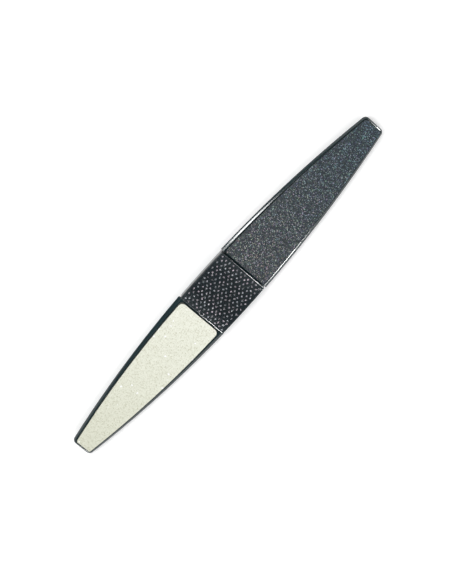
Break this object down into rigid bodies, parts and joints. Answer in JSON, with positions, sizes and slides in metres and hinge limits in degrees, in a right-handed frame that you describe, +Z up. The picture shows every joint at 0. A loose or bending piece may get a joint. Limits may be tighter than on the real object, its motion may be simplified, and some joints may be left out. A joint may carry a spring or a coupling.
{
  "type": "nail buffer",
  "caption": "Double-ended boat-shaped nail buffer with a grey filing pad and a cream buffing pad set in trays on both sides of a glossy black frame, and a stippled grip at its waist.",
  "frame": {"origin": "centre of the bounding box in plan, on the plane of the rear grip points that the tool lies on", "axes": "+X along the tool towards the grey filing end, +Y across it, +Z up out of the front working faces"},
  "size_m": [0.178, 0.0238, 0.0064],
  "materials": {
    "frame_plastic": "glossy black moulding with a slight teal cast",
    "grip_plastic": "glossy black moulding with raised points",
    "filing_sheet": "grey abrasive grit coat with sparkling grains",
    "buffing_sheet": "cream polishing coat, finely mottled",
    "pad_foam": "dark closed-cell foam",
    "adhesive_film": "pale double-sided adhesive film"
  },
  "bodies": {
    "root": {"core_frame": "frame_plastic", "front_grip_cover": "grip_plastic", "rear_grip_cover": "grip_plastic", "front_filing_adhesive_film": "adhesive_film", "front_filing_foam_cushion": "pad_foam", "front_filing_sheet": "filing_sheet", "rear_filing_adhesive_film": "adhesive_film", "rear_filing_foam_cushion": "pad_foam", "rear_filing_sheet": "filing_sheet", "front_buffing_adhesive_film": "adhesive_film", "front_buffing_foam_cushion": "pad_foam", "front_buffing_sheet": "buffing_sheet", "rear_buffing_adhesive_film": "adhesive_film", "rear_buffing_foam_cushion": "pad_foam", "rear_buffing_sheet": "buffing_sheet"}
  },
  "joints": []
}
